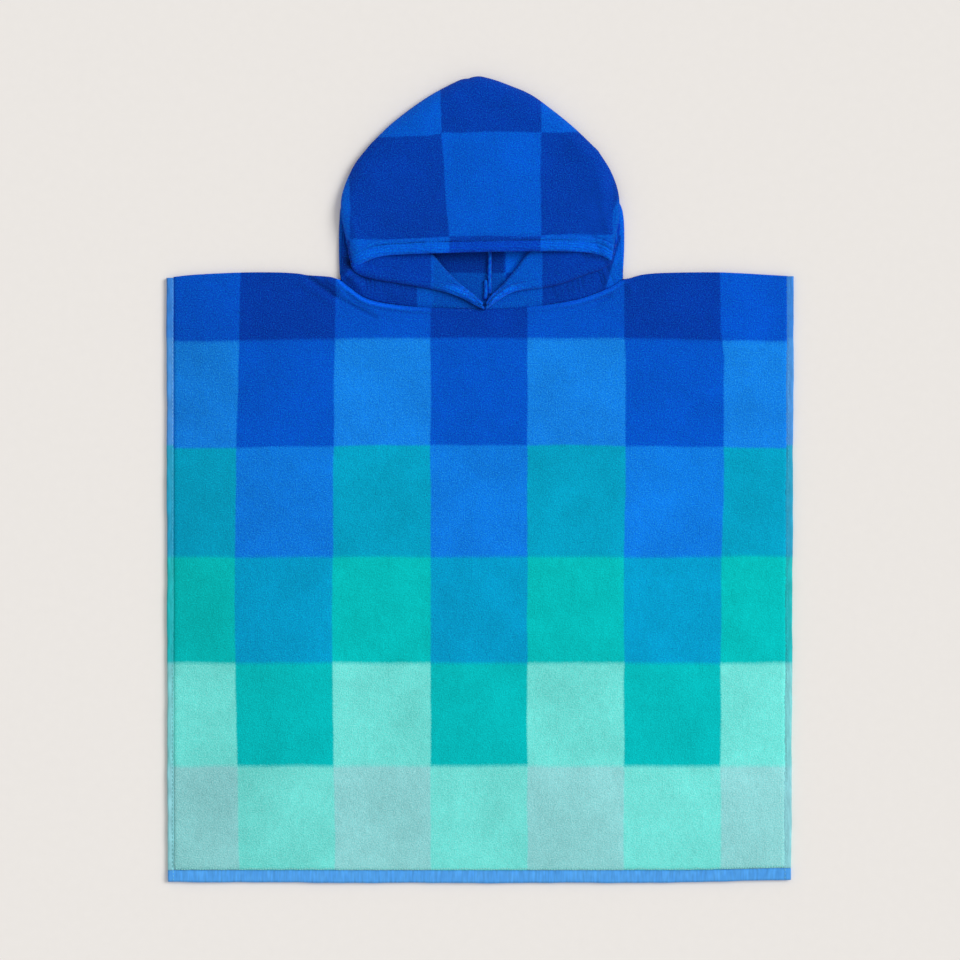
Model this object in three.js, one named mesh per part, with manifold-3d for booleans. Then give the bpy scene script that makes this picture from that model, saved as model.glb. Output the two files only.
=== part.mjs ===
// A child's hooded bath poncho in terry towelling, laid flat on its back.
// Millimetres: seen from above, +X is to the right, +Y runs to the hood's peak, +Z rises from the surface.
import * as THREE from "three";
import { mergeVertices } from "three/addons/utils/BufferGeometryUtils.js";
import Module from "manifold-3d";

const wasm = await Module();
wasm.setup();

// Driving sizes
const BODY_WIDTH = 625;
const BOTTOM_EDGE = -403.3;
const SIDE_HEM_WIDTH = 6.5;
const HEM_BAND_DEPTH = 12.5;
const TERRY = 2.6;
const FLAT_WEAVE = 2.2;
const SEAM_GAP = 0.3;

// Hood sizes
const RIM_HEM_DEPTH = 14;
const RIM_HEM_RISE = 0.9;
const RIM_HEM_STEP = 2;
const CROWN_SIDE_HEIGHT = 12.6;
const CROWN_LOFT = 7.5;
const CROWN_ROUND = 16;
const FOLD_ROUND_POWER = 2.5;
const CHEEK_WALL = 2.6;
const CHEEK_BASE_HEIGHT = TERRY + SEAM_GAP + CHEEK_WALL / 2;
const CHEEK_FOLD_RADIUS = 1.6;
const BACK_SEAM_WIDTH = 4;
const BACK_SEAM_THICKNESS = 1.4;

// Shoulder line on each side, from the side hem to the neck
const LEFT_SHOULDER = [
  { x: -312.5, y: 202.5 },
  { x: -285, y: 205.2 },
  { x: -220, y: 207 },
  { x: -182, y: 206.4 },
  { x: -150, y: 203.2 },
  { x: -140.5, y: 200.6 },
];
const RIGHT_SHOULDER = [
  { x: 144.5, y: 201.4 },
  { x: 149, y: 201.6 },
  { x: 160, y: 205.4 },
  { x: 192, y: 207.2 },
  { x: 262, y: 206.4 },
  { x: 312.5, y: 203 },
];

// Neck seam, from the left end of the shoulder line to the right one
const NECK_SEAM = [
  { x: -140.5, y: 200.6 },
  { x: -130, y: 191.5 },
  { x: -111, y: 179.6 },
  { x: -78, y: 173.6 },
  { x: -36, y: 171.2 },
  { x: 4, y: 170 },
  { x: 40, y: 171.6 },
  { x: 70, y: 174.8 },
  { x: 101, y: 180.6 },
  { x: 130, y: 191.6 },
  { x: 144.5, y: 201.4 },
];

// Outline of the hood, up its left side, over the peak and down its right side
const HOOD_LEFT_SIDE = [
  { x: -140.2, y: 205 },
  { x: -141, y: 228 },
  { x: -140.6, y: 258 },
  { x: -137.4, y: 287 },
  { x: -126.4, y: 313.4 },
  { x: -110, y: 335 },
];
const HOOD_TOP = [
  { x: -110, y: 335 },
  { x: -86, y: 358 },
  { x: -53, y: 382.2 },
  { x: -24, y: 398 },
  { x: 1, y: 403.2 },
  { x: 29, y: 394.4 },
  { x: 60, y: 379.2 },
  { x: 91, y: 354.6 },
  { x: 118, y: 329 },
];
const HOOD_RIGHT_SIDE = [
  { x: 142.8, y: 205 },
  { x: 144.2, y: 236 },
  { x: 143.4, y: 263 },
  { x: 138.4, y: 286 },
  { x: 131, y: 308 },
  { x: 118, y: 329 },
];

// The crown layer: its rim over the face, and the folded side edges that stand in from the outline
const CROWN_RIM = [
  { x: -127.3, y: 213.3 },
  { x: -120.4, y: 217.2 },
  { x: -104, y: 224 },
  { x: -78, y: 226.8 },
  { x: 3, y: 229.2 },
  { x: 78, y: 230 },
  { x: 112, y: 228.4 },
  { x: 125, y: 223.6 },
  { x: 131.4, y: 218.4 },
];
const CROWN_LEFT_SIDE = [
  { x: -127.3, y: 213.3 },
  { x: -129.8, y: 228 },
  { x: -134, y: 243 },
  { x: -138.6, y: 266 },
  { x: -137.4, y: 287 },
  { x: -126.4, y: 313.4 },
  { x: -110, y: 335 },
];
const CROWN_RIGHT_SIDE = [
  { x: 131.4, y: 218.4 },
  { x: 134.6, y: 238 },
  { x: 139, y: 262 },
  { x: 138.4, y: 286 },
  { x: 131, y: 308 },
  { x: 118, y: 329 },
];

// Where the crown's folded edge comes down from above the cheeks to the surface
const CROWN_EDGE = { highY: 268, lowY: 288, highZ: 12.2, lowZ: 2.2 };

// Cheeks: seam is the place along the neck seam, edge is the hemmed face edge that is turned back
// on the cheek, fold is the line where the cheek turns back
const LEFT_CHEEK = [
  { seam: 0.492, edgeX: 2.6, edgeY: 172.4, foldX: 3.6, foldY: 178 },
  { seam: 0.43, edgeX: -12, edgeY: 178.6, foldX: -7, foldY: 184.4 },
  { seam: 0.37, edgeX: -30, edgeY: 185.5, foldX: -19.5, foldY: 196 },
  { seam: 0.305, edgeX: -54, edgeY: 191, foldX: -34, foldY: 214 },
  { seam: 0.24, edgeX: -80, edgeY: 197, foldX: -52, foldY: 229 },
  { seam: 0.175, edgeX: -102, edgeY: 200.6, foldX: -78, foldY: 246 },
  { seam: 0.11, edgeX: -117, edgeY: 204.2, foldX: -104, foldY: 257 },
  { seam: 0.055, edgeX: -124.6, edgeY: 209.8, foldX: -126, foldY: 261 },
  { seam: 0.006, edgeX: -128.6, edgeY: 215.2, foldX: -138, foldY: 259 },
];
const RIGHT_CHEEK = [
  { seam: 0.535, edgeX: 7.6, edgeY: 172.6, foldX: 6.2, foldY: 178.2 },
  { seam: 0.57, edgeX: 15, edgeY: 182, foldX: 12.5, foldY: 187.6 },
  { seam: 0.63, edgeX: 32, edgeY: 190.6, foldX: 21.5, foldY: 198 },
  { seam: 0.695, edgeX: 60, edgeY: 193.6, foldX: 36, foldY: 214 },
  { seam: 0.76, edgeX: 82, edgeY: 198.6, foldX: 54, foldY: 232 },
  { seam: 0.825, edgeX: 102, edgeY: 206.4, foldX: 80, foldY: 247 },
  { seam: 0.89, edgeX: 118, edgeY: 213.6, foldX: 106, foldY: 257 },
  { seam: 0.945, edgeX: 128, edgeY: 217.6, foldX: 128, foldY: 259 },
  { seam: 0.994, edgeX: 132, edgeY: 219.6, foldX: 140, foldY: 255 },
];

// Centre back seam of the hood, its allowances lying inside on the back layer
const BACK_SEAM = [
  { x: 8, y: 191 },
  { x: 9.6, y: 226 },
  { x: 8, y: 310 },
  { x: 3, y: 384 },
];

// Folds of the front panel: ridge lines with their height and half width
const FRONT_FOLDS = [
  { x0: -152, y0: 201, x1: -137, y1: 189, height: 1.8, spread: 6 },
  { x0: -172, y0: 203, x1: -147, y1: 190, height: 0.8, spread: 7 },
  { x0: -144, y0: 183, x1: -106, y1: 163, height: 1.1, spread: 10 },
  { x0: -133, y0: 191, x1: -60, y1: 170, height: 0.9, spread: 6 },
  { x0: 114, y0: 178, x1: 131, y1: 188, height: 0.9, spread: 6 },
  { x0: 60, y0: 168, x1: 108, y1: 178, height: 0.6, spread: 8 },
];

// Broad soft waves of the front panel lying on the back panel, which fade out towards its edges
const FRONT_WAVES = [
  { lengthX: 310, lengthY: 540, shift: 0.6, height: 0.35 },
  { lengthX: -420, lengthY: 260, shift: 2.1, height: 0.3 },
];
const EDGE_FADE = 60;

// Grid counts
const SHOULDER_STEPS = 10;
const NECK_STEPS = 26;
const FRONT_ROWS = 22;
const BACK_ROWS = 4;
const HOOD_ACROSS = 30;
const HOOD_UP = 14;
const CHEEK_STEPS = 20;
const CHEEK_PATH_STEPS = 6;
const CHEEK_BEND_STEPS = 4;
const BACK_SEAM_STEPS = 12;
const CURVE_SAMPLES = 200;
const MERGE_DISTANCE = 1e-4;
const SLOPE_STEP = 0.5;

// Places of the crown's rows between rim and peak, close together over the turned hem
const CROWN_ROWS = [0, 0.035, 0.07, 0.085, 0.13, 0.2, 0.29, 0.39, 0.5, 0.61, 0.71, 0.8, 0.88, 0.95, 1];

const curveThrough = (table) =>
  new THREE.CatmullRomCurve3(table.map(({ x, y }) => new THREE.Vector3(x, y, 0)), false, "centripetal");

const evenPoints = (table, steps) => curveThrough(table).getSpacedPoints(steps);

const mix = THREE.MathUtils.lerp;

const smoothStep = THREE.MathUtils.smoothstep;

// A four-sided patch filled between its four edge curves; places gives the rows' shares of its height
function patch(bottom, top, left, right, across, places) {
  const low = curveThrough(bottom);
  const high = curveThrough(top);
  const westward = curveThrough(left);
  const eastward = curveThrough(right);
  const corners = [low.getPointAt(0), low.getPointAt(1), high.getPointAt(0), high.getPointAt(1)];
  return places.map((v) => {
    const west = westward.getPointAt(v);
    const east = eastward.getPointAt(v);
    const row = [];
    for (let i = 0; i <= across; i += 1) {
      const u = i / across;
      const below = low.getPointAt(u);
      const above = high.getPointAt(u);
      const point = new THREE.Vector3();
      for (const axis of ["x", "y"]) {
        const flatLow = mix(corners[0][axis], corners[1][axis], u);
        const flatHigh = mix(corners[2][axis], corners[3][axis], u);
        const edges = mix(below[axis], above[axis], v) + mix(west[axis], east[axis], u);
        point[axis] = edges - mix(flatLow, flatHigh, v);
      }
      row.push(point);
    }
    return row;
  });
}

// A closed wall between an upper and a lower grid of points
function wallBetween(upper, lower) {
  const rows = upper.length;
  const columns = upper[0].length;
  const positions = [];
  for (const grid of [upper, lower]) {
    for (const row of grid) {
      for (const point of row) positions.push(point.x, point.y, point.z);
    }
  }
  const under = rows * columns;
  const at = (row, column) => row * columns + column;
  const index = [];
  const quad = (a, b, c, d) => index.push(a, b, c, a, c, d);
  for (let r = 0; r < rows - 1; r += 1) {
    for (let c = 0; c < columns - 1; c += 1) {
      quad(at(r, c), at(r, c + 1), at(r + 1, c + 1), at(r + 1, c));
      quad(under + at(r, c), under + at(r + 1, c), under + at(r + 1, c + 1), under + at(r, c + 1));
    }
  }
  const rim = [];
  for (let c = 0; c < columns - 1; c += 1) rim.push(at(0, c));
  for (let r = 0; r < rows - 1; r += 1) rim.push(at(r, columns - 1));
  for (let c = columns - 1; c > 0; c -= 1) rim.push(at(rows - 1, c));
  for (let r = rows - 1; r > 0; r -= 1) rim.push(at(r, 0));
  rim.forEach((from, i) => {
    const to = rim[(i + 1) % rim.length];
    quad(from, under + from, under + to, to);
  });
  const geometry = new THREE.BufferGeometry();
  geometry.setAttribute("position", new THREE.Float32BufferAttribute(positions, 3));
  geometry.setIndex(index);
  return geometry;
}

// Copies of a grid moved straight up, or moved along the cloth's own normal
const lifted = (grid, height) =>
  grid.map((row) => row.map((point) => new THREE.Vector3(point.x, point.y, height(point))));

function offset(grid, distance) {
  const rows = grid.length;
  return grid.map((row, r) =>
    row.map((point, c) => {
      const alongRow = row[Math.min(c + 1, row.length - 1)].clone().sub(row[Math.max(c - 1, 0)]);
      const acrossRow = grid[Math.min(r + 1, rows - 1)][c].clone().sub(grid[Math.max(r - 1, 0)][c]);
      return point.clone().addScaledVector(alongRow.cross(acrossRow).normalize(), distance);
    }));
}

function distanceToSegment(x, y, a, b) {
  const length = Math.hypot(b.x - a.x, b.y - a.y);
  const share = ((x - a.x) * (b.x - a.x) + (y - a.y) * (b.y - a.y)) / (length * length);
  const near = THREE.MathUtils.clamp(share, 0, 1);
  return Math.hypot(x - mix(a.x, b.x, near), y - mix(a.y, b.y, near));
}

const distanceToLine = (x, y, line) =>
  Math.min(...line.slice(1).map((point, i) => distanceToSegment(x, y, line[i], point)));

// Body panels: columns run straight up from the hem to the shoulder line and the neck seam
const topLine = [
  ...evenPoints(LEFT_SHOULDER, SHOULDER_STEPS),
  ...evenPoints(NECK_SEAM, NECK_STEPS).slice(1),
  ...evenPoints(RIGHT_SHOULDER, SHOULDER_STEPS).slice(1),
];
const panelBottom = BOTTOM_EDGE + HEM_BAND_DEPTH + SEAM_GAP / 2;
const panelHalfWidth = BODY_WIDTH / 2 - SIDE_HEM_WIDTH - SEAM_GAP / 2;

function panelGrid(rows) {
  const grid = [];
  for (let r = 0; r <= rows; r += 1) {
    grid.push(topLine.map((top) => {
      const x = THREE.MathUtils.clamp(top.x, -panelHalfWidth, panelHalfWidth);
      return new THREE.Vector3(x, mix(panelBottom, top.y - SEAM_GAP, r / rows), 0);
    }));
  }
  return grid;
}

function frontRise(x, y) {
  let rise = 0;
  for (const { lengthX, lengthY, shift, height } of FRONT_WAVES) {
    const phase = 2 * Math.PI * (x / lengthX + y / lengthY) + shift;
    rise += height * (1 + Math.sin(phase));
  }
  for (const { x0, y0, x1, y1, height, spread } of FRONT_FOLDS) {
    const far = distanceToSegment(x, y, { x: x0, y: y0 }, { x: x1, y: y1 });
    rise += height * Math.exp(-((far / spread) ** 2));
  }
  const fromEdge = Math.min(panelHalfWidth - Math.abs(x), y - panelBottom);
  return rise * smoothStep(fromEdge, 0, EDGE_FADE);
}

function frontPanel() {
  const grid = panelGrid(FRONT_ROWS);
  const lower = lifted(grid, ({ x, y }) => TERRY + SEAM_GAP + frontRise(x, y));
  const upper = lifted(grid, ({ x, y }) => 2 * TERRY + SEAM_GAP + frontRise(x, y));
  return wallBetween(upper, lower);
}

function backPanel() {
  const grid = panelGrid(BACK_ROWS);
  return wallBetween(lifted(grid, () => TERRY), lifted(grid, () => 0));
}

// Flat woven strips of one leaf, resting at the given height
function hemStrip(corners, low) {
  const [west, east] = corners;
  const grid = [
    [new THREE.Vector3(west.x, west.low, 0), new THREE.Vector3(east.x, east.low, 0)],
    [new THREE.Vector3(west.x, west.high, 0), new THREE.Vector3(east.x, east.high, 0)],
  ];
  return wallBetween(lifted(grid, () => low + FLAT_WEAVE), lifted(grid, () => low));
}

const sideHem = (inner, outer, low) => {
  const bottom = BOTTOM_EDGE + HEM_BAND_DEPTH + SEAM_GAP / 2;
  const shoulder = outer < 0 ? LEFT_SHOULDER[0] : RIGHT_SHOULDER[RIGHT_SHOULDER.length - 1];
  const ends = [inner, outer].sort((a, b) => a - b);
  return hemStrip(ends.map((x) => ({ x, low: bottom, high: shoulder.y - SEAM_GAP })), low);
};

const hemBand = (low) => {
  const high = BOTTOM_EDGE + HEM_BAND_DEPTH - SEAM_GAP / 2;
  return hemStrip([-1, 1].map((side) => ({ x: (side * BODY_WIDTH) / 2, low: BOTTOM_EDGE, high })), low);
};

// Hood pocket: the back layer on the surface, joined round the outline to the crown layer
function solidOf(geometry) {
  const merged = mergeVertices(geometry, MERGE_DISTANCE);
  const vertProperties = new Float32Array(merged.attributes.position.array);
  const triVerts = new Uint32Array(merged.index.array);
  return new wasm.Manifold(new wasm.Mesh({ numProp: 3, vertProperties, triVerts }));
}

function geometryOf(solid) {
  const { vertProperties, triVerts } = solid.getMesh();
  const geometry = new THREE.BufferGeometry();
  geometry.setAttribute("position", new THREE.Float32BufferAttribute(vertProperties, 3));
  geometry.setIndex(new THREE.Uint32BufferAttribute(triVerts, 1));
  return geometry;
}

const crownOutline = [
  ...evenPoints(CROWN_LEFT_SIDE, CURVE_SAMPLES),
  ...evenPoints(HOOD_TOP, CURVE_SAMPLES),
  ...evenPoints(CROWN_RIGHT_SIDE, CURVE_SAMPLES).reverse(),
];
const rimLine = evenPoints(CROWN_RIM, CURVE_SAMPLES);
const peakY = Math.max(...crownOutline.map(({ y }) => y));
const rimY = CROWN_RIM[4].y;
const crownHalfWidth = (CROWN_RIM[8].x - CROWN_RIM[0].x) / 2;

function crownHeight({ x, y }) {
  const { highY, lowY, highZ, lowZ } = CROWN_EDGE;
  const edge = mix(highZ, lowZ, smoothStep(y, highY, lowY));
  const inward = Math.min(1, distanceToLine(x, y, crownOutline) / CROWN_ROUND);
  const round = 1 - (1 - inward) ** FOLD_ROUND_POWER;
  const fromRim = THREE.MathUtils.clamp((peakY - y) / (peakY - rimY), 0, 1);
  const fromSide = Math.max(0, 1 - (x / crownHalfWidth) ** 2);
  const crest = CROWN_SIDE_HEIGHT + CROWN_LOFT * fromSide * fromRim;
  const fromHem = distanceToLine(x, y, rimLine);
  const hem = RIM_HEM_RISE * (1 - smoothStep(fromHem, RIM_HEM_DEPTH - RIM_HEM_STEP, RIM_HEM_DEPTH));
  return mix(edge, crest, round) + hem;
}

function hoodPocket() {
  const neck = NECK_SEAM.map(({ x, y }) => ({ x, y: y + SEAM_GAP }));
  neck[0] = HOOD_LEFT_SIDE[0];
  neck[neck.length - 1] = HOOD_RIGHT_SIDE[0];
  const evenRows = Array.from({ length: HOOD_UP + 1 }, (_, i) => i / HOOD_UP);
  const backGrid = patch(neck, HOOD_TOP, HOOD_LEFT_SIDE, HOOD_RIGHT_SIDE, HOOD_ACROSS, evenRows);
  const back = wallBetween(lifted(backGrid, () => TERRY), lifted(backGrid, () => 0));
  const crownGrid = patch(CROWN_RIM, HOOD_TOP, CROWN_LEFT_SIDE, CROWN_RIGHT_SIDE, HOOD_ACROSS, CROWN_ROWS);
  const outer = lifted(crownGrid, crownHeight);
  const inner = outer.map((row) => row.map((point) => {
    const slopeX = (crownHeight({ x: point.x + SLOPE_STEP, y: point.y })
      - crownHeight({ x: point.x - SLOPE_STEP, y: point.y })) / (2 * SLOPE_STEP);
    const slopeY = (crownHeight({ x: point.x, y: point.y + SLOPE_STEP })
      - crownHeight({ x: point.x, y: point.y - SLOPE_STEP })) / (2 * SLOPE_STEP);
    const normal = new THREE.Vector3(-slopeX, -slopeY, 1).normalize();
    const under = point.clone().addScaledVector(normal, -TERRY);
    return under.setZ(Math.max(0, under.z));
  }));
  return geometryOf(solidOf(back).add(solidOf(wallBetween(outer, inner))));
}

// A cheek rises from the neck seam, turns over at its fold and lies back on itself to its hemmed edge
function cheek(table) {
  const seam = curveThrough(NECK_SEAM);
  const edge = curveThrough(table.map(({ edgeX, edgeY }) => ({ x: edgeX, y: edgeY })));
  const fold = curveThrough(table.map(({ foldX, foldY }) => ({ x: foldX, y: foldY })));
  const rows = [];
  for (let i = 0; i <= CHEEK_STEPS; i += 1) {
    const share = i / CHEEK_STEPS;
    const place = share * (table.length - 1);
    const step = Math.min(Math.floor(place), table.length - 2);
    const along = mix(table[step].seam, table[step + 1].seam, place - step);
    const start = seam.getPointAt(along);
    start.y += SEAM_GAP;
    const foldPoint = fold.getPoint(share);
    const edgePoint = edge.getPoint(share);
    const outward = foldPoint.clone().sub(start).normalize();
    const bendCentre = foldPoint.clone().addScaledVector(outward, -CHEEK_FOLD_RADIUS);
    const row = [];
    for (let j = 0; j < CHEEK_PATH_STEPS; j += 1) {
      row.push(start.clone().lerp(bendCentre, j / CHEEK_PATH_STEPS).setZ(CHEEK_BASE_HEIGHT));
    }
    for (let j = 0; j <= CHEEK_BEND_STEPS; j += 1) {
      const angle = -Math.PI / 2 + (Math.PI * j) / CHEEK_BEND_STEPS;
      const point = bendCentre.clone().addScaledVector(outward, CHEEK_FOLD_RADIUS * Math.cos(angle));
      row.push(point.setZ(CHEEK_BASE_HEIGHT + CHEEK_FOLD_RADIUS * (1 + Math.sin(angle))));
    }
    for (let j = 1; j <= CHEEK_PATH_STEPS; j += 1) {
      const point = bendCentre.clone().lerp(edgePoint, j / CHEEK_PATH_STEPS);
      row.push(point.setZ(CHEEK_BASE_HEIGHT + 2 * CHEEK_FOLD_RADIUS));
    }
    rows.push(row);
  }
  const ordered = table[0].seam > 0.5 ? rows.reverse() : rows;
  return wallBetween(offset(ordered, CHEEK_WALL / 2), offset(ordered, -CHEEK_WALL / 2));
}

function backSeam() {
  const line = evenPoints(BACK_SEAM, BACK_SEAM_STEPS);
  const low = TERRY + SEAM_GAP;
  const grid = line.map((point) => [-1, 1].map((side) =>
    new THREE.Vector3(point.x + (side * BACK_SEAM_WIDTH) / 2, point.y, low)));
  return wallBetween(lifted(grid, () => low + BACK_SEAM_THICKNESS), lifted(grid, () => low));
}

// The finished garment
const poncho = new THREE.Group();

function addPiece(name, geometry, color, roughness) {
  const material = new THREE.MeshStandardMaterial({ color, roughness, metalness: 0 });
  const mesh = new THREE.Mesh(geometry, material);
  mesh.name = name;
  poncho.add(mesh);
}

const half = BODY_WIDTH / 2;
const frontHemLow = FLAT_WEAVE + SEAM_GAP;
addPiece("back_panel", backPanel(), "#1f8fc4", 0.95);
addPiece("front_panel", frontPanel(), "#1fa0c8", 0.95);
addPiece("back_left_side_hem", sideHem(-half, SIDE_HEM_WIDTH - half, 0), "#4f9be6", 0.85);
addPiece("back_right_side_hem", sideHem(half - SIDE_HEM_WIDTH, half, 0), "#4f9be6", 0.85);
addPiece("front_left_side_hem", sideHem(-half, SIDE_HEM_WIDTH - half, frontHemLow), "#4f9be6", 0.85);
addPiece("front_right_side_hem", sideHem(half - SIDE_HEM_WIDTH, half, frontHemLow), "#4f9be6", 0.85);
addPiece("back_hem_band", hemBand(0), "#4b9beb", 0.85);
addPiece("front_hem_band", hemBand(frontHemLow), "#4b9beb", 0.85);
addPiece("hood", hoodPocket(), "#0a4fb8", 0.95);
addPiece("hood_left_cheek", cheek(LEFT_CHEEK), "#0c56c4", 0.95);
addPiece("hood_right_cheek", cheek(RIGHT_CHEEK), "#0c56c4", 0.95);
addPiece("hood_back_seam", backSeam(), "#1d66d6", 0.95);

export default poncho;
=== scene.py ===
import math

import bmesh
import bpy
import numpy as np
from mathutils import Matrix, Vector


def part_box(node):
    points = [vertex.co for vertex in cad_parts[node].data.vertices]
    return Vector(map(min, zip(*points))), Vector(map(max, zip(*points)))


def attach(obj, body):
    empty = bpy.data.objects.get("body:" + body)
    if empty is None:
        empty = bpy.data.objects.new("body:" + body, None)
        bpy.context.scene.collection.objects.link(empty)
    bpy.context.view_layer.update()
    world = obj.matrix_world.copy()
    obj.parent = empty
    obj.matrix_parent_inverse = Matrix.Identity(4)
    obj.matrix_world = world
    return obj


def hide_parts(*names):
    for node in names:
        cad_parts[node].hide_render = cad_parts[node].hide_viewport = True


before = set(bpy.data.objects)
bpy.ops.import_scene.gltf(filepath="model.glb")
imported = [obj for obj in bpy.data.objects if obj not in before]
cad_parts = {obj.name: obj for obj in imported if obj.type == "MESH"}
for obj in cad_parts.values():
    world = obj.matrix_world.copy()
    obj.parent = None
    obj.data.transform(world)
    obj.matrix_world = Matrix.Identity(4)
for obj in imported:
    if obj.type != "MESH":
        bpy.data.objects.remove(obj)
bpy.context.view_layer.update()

# Sizes below are in millimetres, and MM brings them to the metres of the frame
MM = 0.001
TERRY = 2.6
FLAT_WEAVE = 2.2
LAYER_GAP = 0.3
# How uneven the loops stand, and how uneven on the back, which is pressed down
PILE = 0.2
PRESSED_PILE = 0.1
random_pile = np.random.default_rng(11)

panel_low, panel_high = (np.array(corner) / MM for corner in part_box("front_panel"))
band_low, band_high = (np.array(corner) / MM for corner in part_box("front_hem_band"))
HALF_WIDTH = band_high[0]
PANEL_HALF = panel_high[0]
PANEL_BOTTOM = panel_low[1]
BOTTOM_EDGE = band_low[1]
FRONT_LOW = TERRY + LAYER_GAP
FRONT_HEM_LOW = FLAT_WEAVE + LAYER_GAP

# Shoulder line with the neck seam between its two ends
SHOULDER_LEFT = [
    (-312.5, 203), (-285, 205.9), (-240, 208), (-203, 208.1), (-183, 207),
    (-172, 205.3), (-151, 203.7), (-140.5, 200.6),
]
SHOULDER_RIGHT = [
    (144.5, 201.4), (148, 201.4), (154, 203.6), (165, 206.2), (187, 207.7),
    (233, 208.2), (262, 207.2), (312.5, 204.3),
]
NECK_SEAM = [
    (-140.5, 200.6), (-130, 191.5), (-111, 179.6), (-78, 173.6), (-36, 171.2), (4, 170),
    (40, 171.6), (70, 174.8), (101, 180.6), (130, 191.6), (144.5, 201.4),
]

# Outline of the hood and of the crown layer that is folded over the face
HOOD_LEFT = [(-140.2, 205), (-141, 228), (-140.6, 258), (-137.4, 287), (-126.4, 313.4), (-110, 335)]
HOOD_TOP = [
    (-110, 335), (-86, 358), (-53, 382.2), (-24, 398), (-15.5, 401), (-11.5, 401.2), (-7.5, 402.7),
    (1, 403.3), (16.6, 399.2), (31.9, 393.4), (46, 387.6), (60, 379), (91, 354.6), (118, 329),
]
HOOD_RIGHT = [(142.8, 205), (144.2, 236), (143.4, 263), (138.4, 286), (131, 308), (118, 329)]
CROWN_RIM = [
    (-127.3, 213.3), (-120.4, 217.2), (-104, 224), (-78, 226.8), (3, 229.2),
    (78, 230), (112, 228.4), (125, 223.6), (131.4, 218.4),
]
CROWN_LEFT = [
    (-127.3, 213.3), (-129.8, 228), (-134, 243), (-138.6, 266),
    (-137.4, 287), (-126.4, 313.4), (-110, 335),
]
CROWN_RIGHT = [(131.4, 218.4), (134.6, 238), (139, 262), (138.4, 286), (131, 308), (118, 329)]

# Cheeks, in rows from the opening outwards: share of the neck seam's length, x and y of the hemmed face edge
# that lies turned back, x and y of the turning line
LEFT_CHEEK = [
    (0.499, 3.9, 172, 2.6, 176.2), (0.43, -12, 181.2, -7.4, 185.2), (0.37, -30, 188.6, -20.2, 195.4),
    (0.305, -54, 194, -35, 209.8), (0.24, -80, 198.6, -52, 229), (0.175, -102, 202.4, -78, 246),
    (0.11, -117, 206.4, -104, 257), (0.055, -125, 211, -126, 261), (0.006, -128.4, 216, -138, 259),
]
RIGHT_CHEEK = [
    (0.524, 6, 172, 6.8, 176.6), (0.57, 15, 179.6, 12.4, 184.6), (0.63, 32, 189, 21.5, 192.8),
    (0.695, 60, 193.6, 36, 210), (0.76, 82, 198.6, 54, 232), (0.825, 102, 206.4, 80, 247),
    (0.89, 118, 211.6, 106, 257), (0.945, 127, 216, 128, 259), (0.994, 132, 219.6, 140, 255),
]
BACK_SEAM = [(9.4, 186), (9.8, 226), (8, 310), (3, 384)]
LOOSE_SEAM_END = [(5, 181), (5.7, 190), (5.9, 200)]

# Folds: x and y of both ends, height (a trough if below zero), half width
FRONT_FOLDS = [
    (-151, 200, -139, 190, 3.0, 3.6), (-171, 203, -145, 184.5, -3.2, 1.9), (-176, 196, -149, 178, 1.4, 4.5),
    (-138, 186, -106, 170, 1.0, 4), (-141, 181, -106, 163, -1.7, 2.2), (-150, 150, -110, 120, 0.5, 14),
    (116, 177, 129, 183.5, -1.8, 2.4), (146, 199, 152, 190, 1.2, 4), (60, 168, 108, 178, 0.5, 7),
    (-190, 150, -150, 60, 0.7, 20), (200, 120, 150, -20, 0.7, 24), (60, -60, 120, -210, 0.7, 22),
    (-230, -120, -190, -260, 0.7, 18), (-60, 120, -30, 40, 0.6, 18), (-282, 190, -276, 60, 0.7, 9),
    (268, 180, 280, 40, 0.6, 10), (-20, -180, 30, -300, 0.6, 20), (230, -220, 190, -340, 0.6, 16),
]
CROWN_FOLDS = [
    (-110, 300, -60, 352, 1.3, 12), (-88, 262, -52, 250, 1.0, 9), (30, 376, 62, 352, 1.2, 9),
    (96, 332, 118, 292, 1.3, 10), (70, 276, 112, 262, 0.9, 9), (-30, 386, -12, 360, 0.9, 8),
    (120, 300, 127, 252, 1.1, 5), (-128, 262, -122, 232, 1.2, 4), (128, 258, 126, 232, 1.2, 3),
    (-20, 300, 40, 282, 0.8, 14), (-60, 312, -84, 296, -0.8, 8), (112, 244, 120, 226, -0.9, 3),
    (-119, 318, -74, 321, -1.1, 6), (-38, 367, 56, 374, -0.8, 7), (70, 322, 112, 312, -0.9, 7),
    (-104, 290, -64, 276, 0.8, 11), (-34, 262, 44, 258, 0.6, 10),
]
BASE_FOLDS = [
    (-133, 207, -120, 194, 2.6, 3.2), (-126, 211, -112, 201, -1.2, 2),
    (-115.5, 203, -113, 193, -1.1, 1.1), (-111, 202.5, -109.5, 192, -1.2, 1.1),
    (-107, 202, -105.5, 191, -0.9, 1.0), (-100, 200, -97, 189, -0.6, 1.2), (-88, 196, -84, 184, 0.6, 4),
    (86, 198, 87.5, 187, -0.5, 1.6), (91, 200, 92, 188, -0.5, 1.4), (96, 200, 98, 189, -0.5, 1.7),
    (101, 203, 103, 192, -0.7, 1.2), (122, 214, 130, 193, 1.1, 1.6), (126.5, 215, 134, 197, -0.9, 1.1),
    (117, 210, 124, 192, -0.9, 1.2), (70, 196, 76, 182, -0.8, 3), (40, 186, 60, 180, 0.6, 4),
]
LAPEL_FOLDS = [
    (-112, 232, -80, 214, 0.8, 7), (-70, 236, -38, 202, 0.6, 6), (100, 236, 116, 222, 0.8, 6),
    (48, 226, 80, 210, 0.5, 6), (-116, 216, -92, 206, -0.6, 3), (96, 216, 112, 222, -0.7, 2.5),
]
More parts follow.
